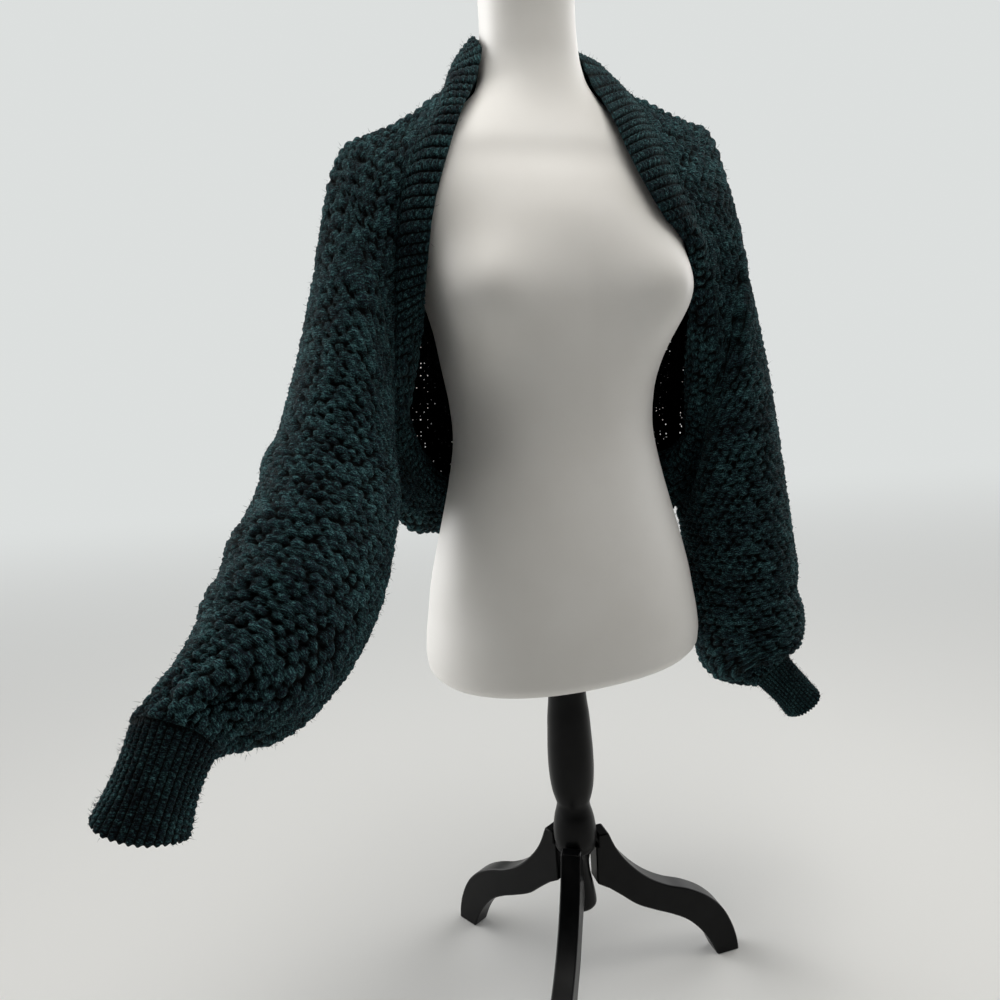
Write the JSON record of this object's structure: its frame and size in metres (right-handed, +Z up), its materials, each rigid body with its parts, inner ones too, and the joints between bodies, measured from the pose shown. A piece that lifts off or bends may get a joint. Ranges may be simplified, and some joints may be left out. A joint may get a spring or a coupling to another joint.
{
  "type": "knitted cocoon shrug on a dress form and stand",
  "caption": "Knitted cocoon shrug with a broad ribbed band, full sleeves and ribbed cuffs, on a limbless dress form with a turned pole and board legs.",
  "frame": {"origin": "middle of the part's footprint, on the floor that the legs stand on", "axes": "+Z up along the pole, -Y the way the form's chest faces, -X its own right side"},
  "size_m": [0.801, 0.4369, 1.2],
  "materials": {
    "knit_green": "deep green heathered wool",
    "form_white": "smooth off-white satin",
    "stand_black": "satin black paint"
  },
  "bodies": {
    "root": {"body": "knit_green", "sleeve_right": "knit_green", "sleeve_left": "knit_green", "band": "knit_green", "cuff_right": "knit_green", "cuff_left": "knit_green", "torso": "form_white", "pole": "stand_black", "leg_left": "stand_black", "leg_back": "stand_black", "leg_front": "stand_black"}
  },
  "joints": []
}
